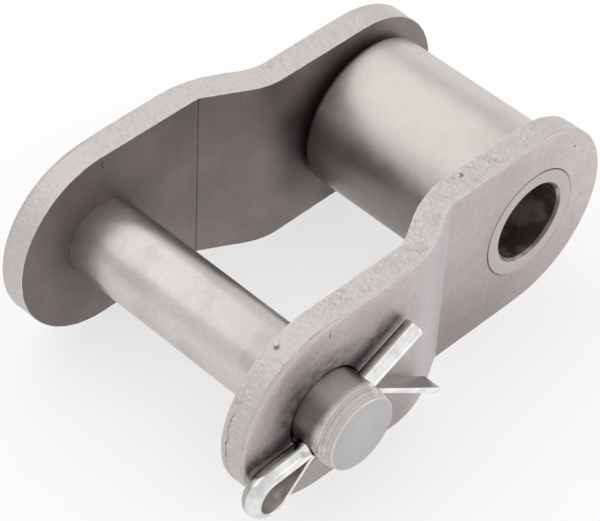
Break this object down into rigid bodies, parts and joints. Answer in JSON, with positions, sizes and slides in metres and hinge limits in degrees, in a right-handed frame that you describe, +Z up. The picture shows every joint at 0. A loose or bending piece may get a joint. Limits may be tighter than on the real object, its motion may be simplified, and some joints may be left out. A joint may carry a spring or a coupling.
{
  "type": "offset link",
  "caption": "Cranked roller-chain link with offset side plates, a bush and free roller at the narrow end, and a connecting pin locked by a split pin at the wide end.",
  "frame": {"origin": "centre of the bush's bore, half way between the plates", "axes": "+X from the pin to the bush, +Y along the bush away from the split pin, +Z up with the link standing on its plates' lower edges"},
  "size_m": [0.0504, 0.0365, 0.0194],
  "materials": {
    "plate_steel": "blasted, matte",
    "turned_steel": "turned and tumbled, satin",
    "split_wire": "bright zinc plated"
  },
  "bodies": {
    "link": {"near_plate": "plate_steel", "far_plate": "plate_steel", "bush": "turned_steel", "link_pin": "turned_steel", "split_pin": "split_wire"},
    "roller": {"roller": "turned_steel"}
  },
  "joints": [
    {"name": "roller_spin", "type": "hinge", "parent": "link", "child": "roller", "pos_m": [0, 0, 0], "axis": [0, 1, 0], "continuous": true}
  ]
}
